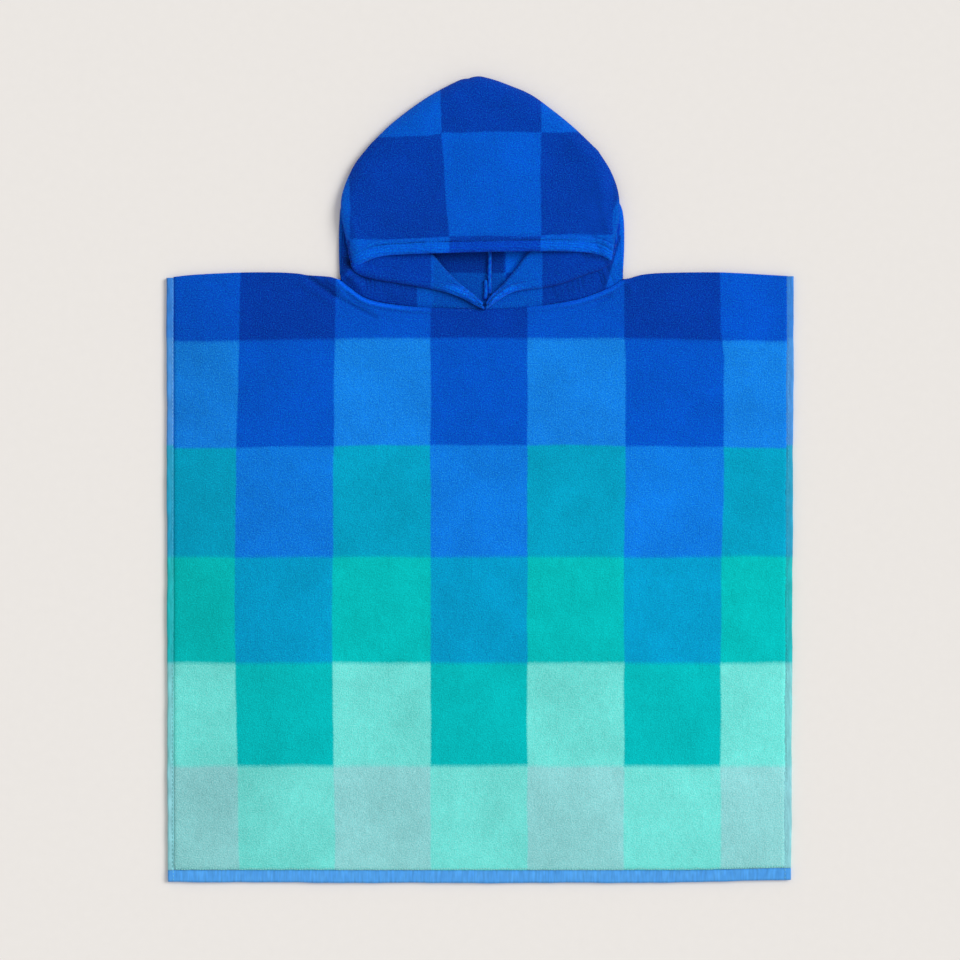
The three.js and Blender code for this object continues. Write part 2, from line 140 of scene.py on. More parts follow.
# Broad waves: lengths along x and y, shift, height
FRONT_WAVES = [(310, 540, 0.6, 0.35), (-420, 260, 2.1, 0.3), (150, 190, 4.0, 0.12)]
CROWN_WAVES = [(170, 260, 0.4, 0.6), (-120, 150, 1.9, 0.5), (70, -95, 3.3, 0.26)]
EDGE_FADE = 60

# The hood's heights above the surface, to the middle of its cloth
CROWN_SIDE_Z = 11.3
CROWN_LOFT = 7.3
CHEEK_BASE_Z = 4.2
LAPEL_Z = 9.6
OUTER_LAPEL_Z = 8.3
# The crown's folded edge stands high up to the first y, and lies low from the second one on
CROWN_FOLD = {"high_y": 264, "low_y": 292}
CROWN_TOP_Y = 403.2
CROWN_RIM_Y = 229.2
CROWN_HALF_WIDTH = 129
HOOD_CENTRE = np.array([2.0, 290.0])
# The crown's rim, from its edge inwards: its rounded lip, its stitches and the end of its hem
RIM_LIP = 4.2
RIM_STITCH = 9.2
RIM_HEM = 13.5
# How far the left and the right corner of the rim sink onto the cheeks
CORNER_SINKS = (4.6, 0.9)
# The hem of a cheek's face edge
CHEEK_LIP = 3.6
CHEEK_HEM = 10.5


def between(a, b, c, d, t):
    """Points from b to c on a smooth curve through four points."""
    return 0.5 * (2 * b + (c - a) * t + (2 * a - 5 * b + 4 * c - d) * t**2 + (3 * b - a - 3 * c + d) * t**3)


def lengthened(points):
    """The points with one more at each end, straight on from the last two."""
    return np.vstack([2 * points[0] - points[1], points, 2 * points[-1] - points[-2]])


def smooth_line(table, count=240):
    """Even points along a smooth curve through the table's points."""
    points = np.array(table, float)
    ends = lengthened(points)
    t = np.linspace(0, 1, 30, endpoint=False)[:, None]
    parts = [between(*four, t) for four in zip(ends, ends[1:], ends[2:], ends[3:])]
    dense = np.vstack([*parts, points[-1:]])
    walked = np.concatenate([[0], np.cumsum(np.hypot(*np.diff(dense, axis=0).T))])
    return np.stack([np.interp(np.linspace(0, walked[-1], count), walked, axis) for axis in dense.T], -1)


def smooth_by_row(points, u):
    """Points of a smooth curve through a table's rows, with every row taking the same share of u."""
    ends = lengthened(points)
    place = u * (len(points) - 1)
    step = np.minimum(place.astype(int), len(points) - 2)
    t = (place - step)[:, None]
    return between(*(ends[step + k] for k in range(4)), t)


def along(line, share):
    """Points of a line at shares of its length."""
    place = np.asarray(share) * (len(line) - 1)
    return np.stack([np.interp(place, np.arange(len(line)), axis) for axis in line.T], -1)


def smooth_step(value, low, high):
    """Runs softly from 0 at low to 1 at high, and falls where low is the larger."""
    share = np.clip((value - low) / (high - low), 0, 1)
    return share * share * (3 - 2 * share)


def mound(far, spread):
    """1 where far is zero, falling softly to nothing on both sides of it."""
    return np.exp(-((far / spread) ** 2))


def rounded(share):
    """Height of a quarter circle, from 0 at its edge to 1."""
    return np.sqrt(1 - (1 - np.clip(share, 0, 1)) ** 2)


def mix(a, b, share):
    return a + (b - a) * share


def distance_to(x, y, line):
    """Distance of points from a line in plan."""
    nearest = np.full(np.shape(x), np.inf)
    for a, b in zip(line[:-1], line[1:]):
        run = b - a
        share = np.clip(((x - a[0]) * run[0] + (y - a[1]) * run[1]) / (run @ run), 0, 1)
        nearest = np.minimum(nearest, np.hypot(x - a[0] - share * run[0], y - a[1] - share * run[1]))
    return nearest


def waves(x, y, table):
    """Broad swells of the cloth."""
    height = 0
    for length_x, length_y, shift, rise in table:
        height = height + rise * (1 + np.sin(2 * math.pi * (x / length_x + y / length_y) + shift))
    return height


def folds(x, y, table):
    """Heights of soft ridges and troughs that run from point to point and fade at their ends."""
    height = 0
    for x0, y0, x1, y1, rise, spread in table:
        far = distance_to(x, y, np.array([(x0, y0), (x1, y1)]))
        height = height + rise * mound(far, spread)
    return height


def pile(count, height=PILE):
    """Uneven heights of the loops, drawn at random for every point."""
    return random_pile.normal(0, height, count)


neck_line = smooth_line(NECK_SEAM)
top_line = np.vstack([smooth_line(SHOULDER_LEFT), neck_line[1:], smooth_line(SHOULDER_RIGHT)[1:]])
rim_line = smooth_line(CROWN_RIM, 60)
crown_outline = np.vstack([
    smooth_line(CROWN_LEFT, 60), smooth_line(HOOD_TOP, 80)[1:], smooth_line(CROWN_RIGHT, 60)[::-1][1:],
])


# Materials
def linear(code):
    """A colour given as sRGB hex, turned to linear."""
    parts = [int(code[i:i + 2], 16) / 255 for i in (1, 3, 5)]
    return [c / 12.92 if c <= 0.04045 else ((c + 0.055) / 1.055) ** 2.4 for c in parts] + [1]


def add(tree, kind, inputs=(), **settings):
    """Adds a node with its settings, and sets or links its inputs."""
    made = tree.nodes.new(kind)
    for key, value in settings.items():
        setattr(made, key, value)
    for key, value in dict(inputs).items():
        if isinstance(value, bpy.types.NodeSocket):
            tree.links.new(value, made.inputs[key])
        else:
            made.inputs[key].default_value = value
    return made


def material(name, finish):
    """A new material with its node tree and its shader, whose sockets are set as finish says."""
    made = bpy.data.materials.new(name)
    made.use_nodes = True
    shader = made.node_tree.nodes["Principled BSDF"]
    for key, value in finish.items():
        shader.inputs[key].default_value = value
    return made, made.node_tree, shader


# Dyed yarns of the check from the shoulders to the hem, for the columns that start light and dark
LIGHT_COLUMNS = ["#0052ca", "#107fe4", "#00a0c6", "#00bdbd", "#6fe0d9", "#8cd3d5"]
DARK_COLUMNS = ["#003aa8", "#0055cc", "#0a7ae2", "#009dce", "#00bbbe", "#72dfd8"]
HOOD_YARNS = ["#003cab", "#0058cf"]
COLUMN_WIDTH = 96.7
COLUMN_START = -49.4
ROW_LINES = [-286.4, -183.4, -76.6, 34.8, 141.6]
HOOD_COLUMN_START = -38.5
HOOD_ROW_START = 242.5
HOOD_ROW_HEIGHT = 102
# Half the way over which two yarns mix at the edge of a colour
COLOUR_BLEND = 0.85
# How single loops and whole rows stray over a colour's edge: size of the patches, and how far
LEANING = [(1.3, 2.4), (55, 3)]
# Uneven patches of darker and lighter tone, from a few loops to whole squares: size, darker shade, paler
# shade
MOTTLES = [(2.2, 0.95, 1.05), (8, 0.965, 1.035), (28, 0.965, 1.035), (55, 0.965, 1.035), (120, 0.94, 1.06)]
# Size of the grain that single loops make, with the gamma of its dark and its light parts
LOOP_GRAIN = (1.15, 1.3, 0.72)
LOOP_SIZE = 1.6
LOOP_DEPTH = 1.4
# The wave texture has a rib every 0.31 of its own units, so these lie 0.86 mm apart
RIB_SCALE = 1 / (1.1 * MM) / 2.5
RIB_DEPTH = 0.5
# Light and dark threads of the flat weave, in streaks for each metre across and along
STREAKS = (420, 60, 1)
TWIST_SIZE = 0.6


def ramp(tree, factor, places, colours, softness):
    """Bands of plain colour that run into each other over a short way at the given places."""
    made = add(tree, "ShaderNodeValToRGB", {"Fac": factor})
    stops = made.color_ramp.elements
    stops[0].color = linear(colours[0])
    stops[1].position = places[0] - softness
    stops[1].color = linear(colours[0])
    for place, before, after in zip(places, colours, colours[1:]):
        if place != places[0]:
            stops.new(place - softness).color = linear(before)
        stops.new(place + softness).color = linear(after)
    return made.outputs["Color"]


def leaning(tree, cloth):
    """The cloth's own coordinates, pushed about as the loops lean over a colour's edge."""
    place = cloth
    for size, push in LEANING:
        noise = add(tree, "ShaderNodeTexNoise", {"Vector": cloth, "Scale": 1 / (size * MM), "Detail": 1})
        half = -push * MM / 2
        shift = add(tree, "ShaderNodeVectorMath", {
            0: noise.outputs["Color"], 1: [push * MM] * 3, 2: [half] * 3}, operation="MULTIPLY_ADD")
        place = add(tree, "ShaderNodeVectorMath", {0: place, 1: shift.outputs[0]}).outputs[0]
    return add(tree, "ShaderNodeSeparateXYZ", {0: place})


def parity(tree, value, start, pitch):
    """1 and 0 for every other stripe of the given pitch, with soft edges."""
    scaled = add(tree, "ShaderNodeMath", {
        0: value, 1: 1 / (pitch * MM), 2: 0.5 - start / pitch}, operation="MULTIPLY_ADD").outputs[0]
    swing = add(tree, "ShaderNodeMath", {0: scaled, 1: 1}, operation="PINGPONG").outputs[0]
    return add(tree, "ShaderNodeMapRange", {
        "Value": swing, "From Min": 0.5 - COLOUR_BLEND / pitch, "From Max": 0.5 + COLOUR_BLEND / pitch,
    }).outputs["Result"]


def body_bands(tree, y, colours):
    """One band of colour for each row of the check."""
    span = (-BOTTOM_EDGE + SHOULDER_LEFT[2][1]) * MM
    share = add(tree, "ShaderNodeMath", {
        0: y, 1: 1 / span, 2: -BOTTOM_EDGE * MM / span}, operation="MULTIPLY_ADD").outputs[0]
    rows = [(line - BOTTOM_EDGE) * MM / span for line in ROW_LINES]
    return ramp(tree, share, rows, colours, COLOUR_BLEND * MM / span)


def body_check(tree, place):
    """Every row moves one yarn on, and every second column is about one yarn behind."""
    light = body_bands(tree, place.outputs["Y"], LIGHT_COLUMNS[::-1])
    dark = body_bands(tree, place.outputs["Y"], DARK_COLUMNS[::-1])
    return add(tree, "ShaderNodeMix", {
        "Factor": parity(tree, place.outputs["X"], COLUMN_START, COLUMN_WIDTH),
        "A": light, "B": dark}, data_type="RGBA").outputs["Result"]


def hood_check(tree, place):
    """The two darkest yarns in turn, both ways."""
    columns = parity(tree, place.outputs["X"], HOOD_COLUMN_START, COLUMN_WIDTH)
    rows = parity(tree, place.outputs["Y"], HOOD_ROW_START, HOOD_ROW_HEIGHT)
    apart = add(tree, "ShaderNodeMath", {0: columns, 1: rows}, operation="SUBTRACT").outputs[0]
    differ = add(tree, "ShaderNodeMath", {0: apart}, operation="ABSOLUTE").outputs[0]
    return add(tree, "ShaderNodeMix", {
        "Factor": differ, "A": linear(HOOD_YARNS[1]), "B": linear(HOOD_YARNS[0])},
        data_type="RGBA").outputs["Result"]


def mottle(tree, cloth, size, low, high):
    """Soft uneven patches of the given size in millimetres, between two values."""
    noise = add(tree, "ShaderNodeTexNoise", {"Vector": cloth, "Scale": 1 / (size * MM), "Detail": 2})
    return add(tree, "ShaderNodeMapRange", {
        "Value": noise.outputs["Fac"], "From Min": 0.3, "From Max": 0.7, "To Min": low, "To Max": high},
        clamp=False).outputs["Result"]


def terry(name, check):
    """Cotton terry: dense short loops that scatter light, so it is matt, grainy and soft at its edges."""
    made, tree, shader = material(name, {
        "Roughness": 0.92, "Specular IOR Level": 0.06, "Sheen Weight": 0.03, "Sheen Roughness": 0.5})
    cloth = add(tree, "ShaderNodeUVMap", uv_map="cloth").outputs["UV"]
    colour = check(tree, leaning(tree, cloth))
    # Painted light and shade of each point, with a few changes of tone, darken or lighten the yarn
    value = add(tree, "ShaderNodeAttribute", attribute_name="painted_light_and_tone").outputs["Fac"]
    for size, low, high in MOTTLES:
        value = add(tree, "ShaderNodeMath", {0: value, 1: mottle(tree, cloth, size, low, high)},
                    operation="MULTIPLY").outputs[0]
    tinted = add(tree, "ShaderNodeHueSaturation", {"Color": colour, "Value": value}).outputs["Color"]
    grain = add(tree, "ShaderNodeGamma", {"Color": tinted, "Gamma": mottle(tree, cloth, *LOOP_GRAIN)})
    loops = add(tree, "ShaderNodeTexNoise", {"Vector": cloth, "Scale": 1 / (LOOP_SIZE * MM), "Detail": 2})
    bump = add(tree, "ShaderNodeBump", {
        "Height": loops.outputs["Fac"], "Strength": 0.6, "Distance": LOOP_DEPTH * MM})
    tree.links.new(grain.outputs["Color"], shader.inputs["Base Color"])
    tree.links.new(bump.outputs["Normal"], shader.inputs["Normal"])
    return made


def flat_weave(name, colouring):
    """Flat woven cotton without loops: fine ribs across the strip, with uneven light and dark threads."""
    made, tree, shader = material(name, {"Roughness": 0.8, "Specular IOR Level": 0.25, "Sheen Weight": 0.1})
    cloth = add(tree, "ShaderNodeUVMap", uv_map="cloth").outputs["UV"]
    stretched = add(tree, "ShaderNodeMapping", {"Vector": cloth, "Scale": STREAKS}).outputs["Vector"]
    streaks = add(tree, "ShaderNodeTexNoise", {"Vector": stretched, "Scale": 1, "Detail": 3}).outputs["Fac"]
    value = add(tree, "ShaderNodeMapRange", {
        "Value": streaks, "From Min": 0.3, "From Max": 0.7, "To Min": 0.82, "To Max": 1.16}, clamp=False)
    tint = add(tree, "ShaderNodeHueSaturation", {
        "Color": colouring(tree, cloth), "Value": value.outputs["Result"]})
    ribs = add(tree, "ShaderNodeTexWave", {"Vector": cloth, "Scale": RIB_SCALE, "Distortion": 1.5})
    bump = add(tree, "ShaderNodeBump", {
        "Height": ribs.outputs["Fac"], "Strength": 0.35, "Distance": RIB_DEPTH * MM})
    tree.links.new(tint.outputs["Color"], shader.inputs["Base Color"])
    tree.links.new(bump.outputs["Normal"], shader.inputs["Normal"])
    return made


# Side hems and their threads take the colours of the rows beside them, from the hem upwards
SIDE_COLOURS = ["#8acfd8", "#7acfd4", "#16b6bc", "#1f9fc6", "#4490dc", "#3280d8"]
SIDE_THREADS = ["#5d9c98", "#66a8a2", "#3fc4cf", "#4fc0dc", "#7cbcee", "#62aaf0"]
# The right side's threads are the same thread with painted light, lighter in the rows near the hem, as the
# right edge faces the light
LIT_SIDE_THREADS = ["#9adfe0", "#8edcd8", "#3fc4cf", "#4fc0dc", "#5fb4ee", "#4fa4ee"]
BAND_COLOURS = ["#4294e6", "#55aaf4"]
BAND_SHADES_PER_METRE = 110


def side_colours(tree, cloth):
    """One band of colour for each row of the check beside the hem."""
    place = add(tree, "ShaderNodeSeparateXYZ", {0: cloth})
    return body_bands(tree, place.outputs["Y"], SIDE_COLOURS)


def band_colour(tree, cloth):
    """Two blues that run into each other unevenly along the band."""
    shade = add(tree, "ShaderNodeTexNoise", {"Vector": cloth, "Scale": BAND_SHADES_PER_METRE, "Detail": 1})
    return add(tree, "ShaderNodeMix", {
        "Factor": shade.outputs["Fac"], "A": linear(BAND_COLOURS[0]), "B": linear(BAND_COLOURS[1])},
        data_type="RGBA").outputs["Result"]


def thread(name, codes):
    """Spun sewing thread, matt with a fine twist: one colour, or one for each row of the check."""
    made, tree, shader = material(name, {"Roughness": 0.8, "Specular IOR Level": 0.08})
    cloth = add(tree, "ShaderNodeTexCoord").outputs["Object"]
    up = add(tree, "ShaderNodeSeparateXYZ", {0: cloth}).outputs["Y"]
    dyed = body_bands(tree, up, codes) if len(codes) > 1 else linear(codes[0])
    twist = add(tree, "ShaderNodeTexNoise", {"Vector": cloth, "Scale": 1 / (TWIST_SIZE * MM)})
    shade = add(tree, "ShaderNodeMapRange", {"Value": twist.outputs["Fac"], "To Min": 0.8, "To Max": 1.2})
    tint = add(tree, "ShaderNodeHueSaturation", {"Color": dyed, "Value": shade.outputs["Result"]})
    tree.links.new(tint.outputs["Color"], shader.inputs["Base Color"])
    return made


body_terry = terry("cotton_terry_body", body_check)
hood_terry = terry("cotton_terry_hood", hood_check)
side_weave = flat_weave("flat_woven_side_hem", side_colours)
band_weave = flat_weave("flat_woven_hem_band", band_colour)
side_thread = thread("side_sewing_thread", SIDE_THREADS)
lit_side_thread = thread("lit_side_sewing_thread", LIT_SIDE_THREADS)
mint_thread = thread("mint_sewing_thread", ["#93ddd6"])
hood_thread = thread("dark_blue_sewing_thread", ["#062f86"])
neck_thread = thread("mid_blue_sewing_thread", ["#2468d8"])


# Making pieces
def unit_grid(columns, rows):
    """A flat grid whose x and y run from 0 to 1."""
    bm = bmesh.new()
    bmesh.ops.create_grid(bm, x_segments=columns, y_segments=rows, size=0.5)
    bmesh.ops.translate(bm, verts=bm.verts, vec=(0.5, 0.5, 0))
    return bm


def places(bm):
    """The x, y and z of all points."""
    return np.array([vert.co for vert in bm.verts]).T


def move_to(bm, points):
    """Moves every vertex to its own point, given in millimetres."""
    for vert, point in zip(bm.verts, points * MM):
        vert.co = point


def in_scene(name, data):
    """A new object in the scene."""
    made = bpy.data.objects.new(name, data)
    bpy.context.collection.objects.link(made)
    return made


def piece(bm, name, cloth, look, nodes=(), wall=None, painted_light_and_tone=None):
    """Turns a finished bmesh into an object with its cloth map, painted light and tone, wall and place in the
    frame.
    """
    mesh = bpy.data.meshes.new(name)
    bm.to_mesh(mesh)
    bm.free()
    mesh.shade_smooth()
    if cloth is not None:
        layer = mesh.uv_layers.new(name="cloth")
        corners = np.zeros(len(mesh.loops), np.int32)
        mesh.loops.foreach_get("vertex_index", corners)
        layer.data.foreach_set("uv", (cloth[corners] * MM).astype(np.float32).ravel())
        # Painted light and shade for each point, with a few changes of tone
        depth = mesh.attributes.new("painted_light_and_tone", "FLOAT", "POINT")
        depth.data.foreach_set("value", np.ones(len(mesh.vertices)) if painted_light_and_tone is None else painted_light_and_tone)
    mesh.materials.append(look)
    made = in_scene(name, mesh)
    if wall:
        thick = made.modifiers.new("cloth wall", "SOLIDIFY")
        thick.thickness = wall * MM
        thick.offset = 0
    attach(made, "root")
    if nodes:
        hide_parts(*nodes)
    return made


# Long edges of the leaves and of the strips beside them, left (-1) and right (1), at the hem and the shoulder
PANEL_EDGES = {-1: (-306.9, -306.9), 1: (305.5, 308.2)}
OUTER_EDGES = {-1: (-312.4, -313.6), 1: (311.3, 314)}
STRIP_TOPS = {-1: 202.4, 1: 204}
DRAWN_LEFT = [(-380, 2), (-300, -0.2), (-200, -2.2), (-100, -2.6), (30, -1.1), (130, 1.6), (200, 3.5)]
DRAWN_RIGHT = [
    (-380, 0), (-300, 0), (-150, 0.2), (-80, 0.8), (-20, 3.2), (120, 3.2), (150, 0.4), (200, -0.6),
]
# The leaves' free edges are rounded over this width, and keep these shares of the cloth's thickness
LEAF_EDGE_ROUND = 2.6
LEAF_EDGE_SHARE = 0.45
NECK_EDGE_SHARE = 0.75
# The seam's allowances lift the cloth beside the neck, whose middle lies flat
NECK_MIDDLE = 8
NECK_RIDGE = 2.4
NECK_OVERLAP = 0.9
DEEPEST_TROUGH = -1.5
# Painted shade along creases: both ends, how much darker, half width
NECK_CREASE_SHADE = [(-172, 203.5, -145, 184.5, -0.32, 1.7), (-141, 181, -108, 164, -0.12, 2.6)]
# Rows of the grid lie closer together towards the shoulders, where the small folds are
ROW_CROWDING = 1.25


def front_rise(x, y):
    """How far the folds and waves lift the front leaf off the back one."""
    rise = waves(x, y, FRONT_WAVES) + folds(x, y, FRONT_FOLDS)
    from_neck = distance_to(x, y, neck_line[::3])
    beside_middle = smooth_step(np.abs(x - NECK_MIDDLE), 30, 80)
    rise = rise + NECK_RIDGE * mound(from_neck - 3, 2.3) * beside_middle
    from_edge = np.minimum(PANEL_HALF - np.abs(x), y - PANEL_BOTTOM)
    return rise * smooth_step(from_edge, 0, EDGE_FADE)


def hem_lift(x):
    """The hem is drawn up a little at its right end."""
    return 2.1 * smooth_step(x, 200, 312)


def leaf_cloth(x, y):
    """Where a point of a leaf lies on the check, whose lines are drawn a little askew towards the sides."""
    drawn_down = 3 * smooth_step(np.abs(x), 90, 300) * smooth_step(y, -70, 30)
    drawn_left = np.interp(y, *np.array(DRAWN_LEFT).T) * smooth_step(x, -40, -240)
    drawn_right = np.interp(y, *np.array(DRAWN_RIGHT).T) * smooth_step(x, 60, 240)
    return np.stack([x - drawn_left - drawn_right, y + drawn_down], -1)


def leaf_painted_light(x, y):
    """Painted light on a leaf: a highlight along the neck's edge, shading that is darker to the left and
    lighter to the right, and shade in creases.
    """
    from_neck = distance_to(x, y, neck_line[::3])
    # A painted highlight along the neck's edge
    paler = mound(from_neck - 1.5, 1.25) * smooth_step(np.abs(x - NECK_MIDDLE), 60, 105)
    # Painted shading: darker to the left, less so in the mint row, and a little lighter to the right
    mint_row = mound(y + 235, 45)
    side_shading = 0.05 * smooth_step(x, 40, 300) - 0.14 * smooth_step(x, -130, -300) * (1 - 0.7 * mint_row)
    return 1 + 0.5 * paler + side_shading + folds(x, y, NECK_CREASE_SHADE)


def leaf(name, node, columns, rows, cuts, low, rise, loops):
    """A body leaf: a closed wall, whose shown side can be cut finer than its hidden one."""
    bm = unit_grid(columns, rows)
    grown = bmesh.ops.extrude_face_region(bm, geom=bm.faces[:], use_keep_orig=True)["geom"]
    upper = [part for part in grown if isinstance(part, bmesh.types.BMVert)]
    bmesh.ops.translate(bm, verts=upper, vec=(0, 0, 1))
    bmesh.ops.recalc_face_normals(bm, faces=bm.faces)
    if cuts:
        edges = [edge for edge in bm.edges if min(vert.co.z for vert in edge.verts) > 0.5]
        bmesh.ops.subdivide_edges(bm, edges=edges, cuts=cuts, use_grid_fill=True)
    u, v, top = places(bm)
    up = 1 - (1 - v) ** ROW_CROWDING
    west, east = mix(*PANEL_EDGES[-1], up), mix(*PANEL_EDGES[1], up)
    x = mix(west, east, u)
    bottom = PANEL_BOTTOM + hem_lift(x)
    in_neck = (x > NECK_SEAM[0][0]) & (x < NECK_SEAM[-1][0]) & (low > 0)
    top_edge = np.interp(x, *top_line.T) + np.where(in_neck, NECK_OVERLAP, -LAYER_GAP)
    y = mix(bottom, top_edge, up)
    inward = np.minimum(np.minimum(x - west, east - x), y - bottom)
    inward = np.minimum(inward, distance_to(x, y, top_line[::4]))
    edge_share = np.where(in_neck, NECK_EDGE_SHARE, LEAF_EDGE_SHARE)
    thickness = TERRY * mix(edge_share, 1, rounded(inward / LEAF_EDGE_ROUND))
    lift = rise(x, y)
    upper = thickness + np.maximum(lift, DEEPEST_TROUGH) + pile(len(x), loops)
    z = low + np.where(top > 0.5, upper, np.maximum(lift, 0))
    move_to(bm, np.stack([x, y, z], -1))
    return piece(bm, name, leaf_cloth(x, y), body_terry, [node], painted_light_and_tone=leaf_painted_light(x, y))


front_leaf = leaf("front_leaf", "front_panel", 98, 95, 2, FRONT_LOW, front_rise, PILE)
back_leaf = leaf("back_leaf", "back_panel", 120, 116, 0, 0, lambda x, y: 0 * x, PRESSED_PILE)

# Flat woven strips: along x or y, with an edge that wanders as a washed hem does
STRIP_STEPS = 260
STRIP_ACROSS = 5
STRIP_WANDER = 0.45
# The right strip is sewn on a little under the leaf's rounded edge
STRIP_TUCK = 1.6


def wander(along_strip, seed):
    """How far a strip's free edge strays."""
    return STRIP_WANDER * (np.sin(along_strip / 23 + seed) + 0.6 * np.sin(along_strip / 9.1 + 2.3 * seed)
                           + 0.4 * np.sin(along_strip / 4.7 + 5.1 * seed)) / 2


def side_strip(name, node, side, low):
    """A side hem: a flat strip along the leaf's edge, with its free edge dipping."""
    bm = unit_grid(STRIP_ACROSS, STRIP_STEPS)
    u, v, _ = places(bm)
    y = mix(PANEL_BOTTOM + hem_lift(side * HALF_WIDTH), STRIP_TOPS[side], v)
    out = u if side > 0 else 1 - u
    inner = mix(*PANEL_EDGES[side], v) - (STRIP_TUCK if side > 0 else 0)
    x = mix(inner, mix(*OUTER_EDGES[side], v), out) + side * out * wander(y, side + low)
    dip = 0.5 * (2 * np.abs(out - 0.5)) ** 4 * ((out > 0.5) | (side < 0))
    z = low + FLAT_WEAVE / 2 + 0.15 * np.sin(y / 17 + low) - dip * (low > 0)
    move_to(bm, np.stack([x, y, np.maximum(z, FLAT_WEAVE / 2)], -1))
    return piece(bm, name, np.stack([x, y], -1), side_weave, [node], FLAT_WEAVE)


def hem_band(name, node, low):
    """A hem band: a flat strip below the leaf, whose lower edge wanders and bows a little."""
    bm = unit_grid(STRIP_STEPS, STRIP_ACROSS)
    u, v, _ = places(bm)
    x = mix(OUTER_EDGES[-1][0], OUTER_EDGES[1][0], u)
    bow = -1.2 * (1 - (x / HALF_WIDTH) ** 2) + 1.2
    y = mix(BOTTOM_EDGE, band_high[1], v) + (1 - v) * (wander(x, 1.7 + low) + bow) + hem_lift(x)
    ends = 0.5 * (2 * np.abs(v - 0.5)) ** 4
    z = low + FLAT_WEAVE / 2 + 0.2 * np.sin(x / 21 + low) - ends * (low > 0)
    move_to(bm, np.stack([x, y, np.maximum(z, FLAT_WEAVE / 2)], -1))
    return piece(bm, name, np.stack([x, y], -1), band_weave, [node], FLAT_WEAVE)


front_strips = [side_strip(f"front_{word}_selvedge", f"front_{word}_side_hem", side, FRONT_HEM_LOW)
                for word, side in (("left", -1), ("right", 1))]
back_strips = [side_strip(f"back_{word}_selvedge", f"back_{word}_side_hem", side, 0)
               for word, side in (("left", -1), ("right", 1))]
front_band = hem_band("front_band", "front_hem_band", FRONT_HEM_LOW)
back_band = hem_band("back_band", "back_hem_band", 0)


# Hood
def patch(bottom, top, left, right, u, v):
    """Points of a four-sided patch filled between its edge curves."""
    low, high = smooth_line(bottom), smooth_line(top)
    west, east = smooth_line(left), smooth_line(right)
    flat = mix(mix(low[0], low[-1], u[:, None]), mix(high[0], high[-1], u[:, None]), v[:, None])
    up = mix(along(low, u), along(high, u), v[:, None])
    across = mix(along(west, v), along(east, v), u[:, None])
    return up + across - flat


def crown_edge_z(y):
    """Height of the outermost line of the crown's fold."""
    return mix(9.2, 4.6, smooth_step(y, CROWN_FOLD["high_y"], CROWN_FOLD["low_y"]))


def crown_end_z(y):
    """Height at which the fold runs on into the layer below it."""
    return mix(7.7, 1.4, smooth_step(y, CROWN_FOLD["high_y"], CROWN_FOLD["low_y"]))


def crown_z(x, y):
    """Height of the crown: a low dome with its folds, and the rim with its hem, groove and rounded lip."""
    round_width = mix(4.5, 12, smooth_step(y, 240, 300))
    inward = np.clip(distance_to(x, y, crown_outline) / round_width, 0, 1)
    from_rim = np.clip((CROWN_TOP_Y - y) / (CROWN_TOP_Y - CROWN_RIM_Y), 0, 1)
    from_side = np.clip(1 - (x / CROWN_HALF_WIDTH) ** 2, 0, 1)
    crest = CROWN_SIDE_Z + CROWN_LOFT * from_side * from_rim + waves(x, y, CROWN_WAVES) * inward
    crest = crest + folds(x, y, CROWN_FOLDS) * smooth_step(inward, 0, 0.8)
    z = mix(crown_edge_z(y), crest, rounded(inward))
    from_hem = distance_to(x, y, rim_line)
    pucker = 0.22 * np.sin(x / 0.9 + 2 * np.sin(x / 7)) * np.sin(x / 2.3)
    pucker = pucker + 0.3 * np.sin(from_hem * 2.3 + 1.2 * np.sin(x / 11)) * smooth_step(from_hem, 2, 5)
    hem = (1.1 + pucker) * (1 - smooth_step(from_hem, RIM_HEM - 1.5, RIM_HEM + 1.5))
    groove = -1.1 * mound(from_hem - RIM_HEM, 1.4)
    lip = -3.0 * (1 - rounded(from_hem / RIM_LIP))
    for (corner_x, corner_y), sink in zip((CROWN_RIM[0], CROWN_RIM[-1]), CORNER_SINKS):
        z = z - sink * (1 - smooth_step(np.hypot(x - corner_x, y - corner_y), 1, 15))
    return z + hem + groove + lip


# Cloth for each millimetre of plan on both sides of the crown's first column line, how far that line is drawn
# sideways at the rim, and the cloth that runs round the right edge
CROWN_CLOTH_SHARES = (1.057, 0.974)
DRAWN_AT_RIM = 8
RIGHT_ROUND_CLOTH = 26.9


def hood_cloth(x, y):
    """Where a point of the crown lies on the check, which is drawn a little to one side at the rim."""
    from_line = x - HOOD_COLUMN_START
    taken = from_line * np.where(from_line > 0, CROWN_CLOTH_SHARES[1], CROWN_CLOTH_SHARES[0])
    beside_line = np.clip(1 - np.abs(from_line) / COLUMN_WIDTH, 0, 1)
    drawn = DRAWN_AT_RIM * np.clip((345 - y) / 105, 0, 1) * beside_line
    lower = 2.2 * smooth_step(x, -30, -70) - 2.8 * smooth_step(x, 55, 75) * smooth_step(y, 300, 260)
    higher = 2.4 * smooth_step(x, -50, -32) * smooth_step(y, 290, 340)
    beside_edge = smooth_step(x, 100, 132) * smooth_step(y, 330, 262) * smooth_step(y, 236, 246)
    taken = taken + RIGHT_ROUND_CLOTH * beside_edge
    return np.stack([HOOD_COLUMN_START + taken - drawn, y + lower - higher], -1)


def fold_under(bm, chain, inward, steps):
    """Extrudes an edge in steps, each given as distances inward and down from the edge."""
    start = np.array([vert.co for vert in chain])
    for inset, drop in steps:
        edges = [bm.edges.get((a, b)) for a, b in zip(chain, chain[1:])]
        grown = bmesh.ops.extrude_edge_only(bm, edges=edges)["geom"]
        new = {part for part in grown if isinstance(part, bmesh.types.BMVert)}
        chain = [next(edge.other_vert(vert) for edge in vert.link_edges if edge.other_vert(vert) in new)
                 for vert in chain]
        goal = start + np.column_stack([inward * inset[:, None], -drop]) * MM
        for vert, point in zip(chain, goal):
            vert.co = point


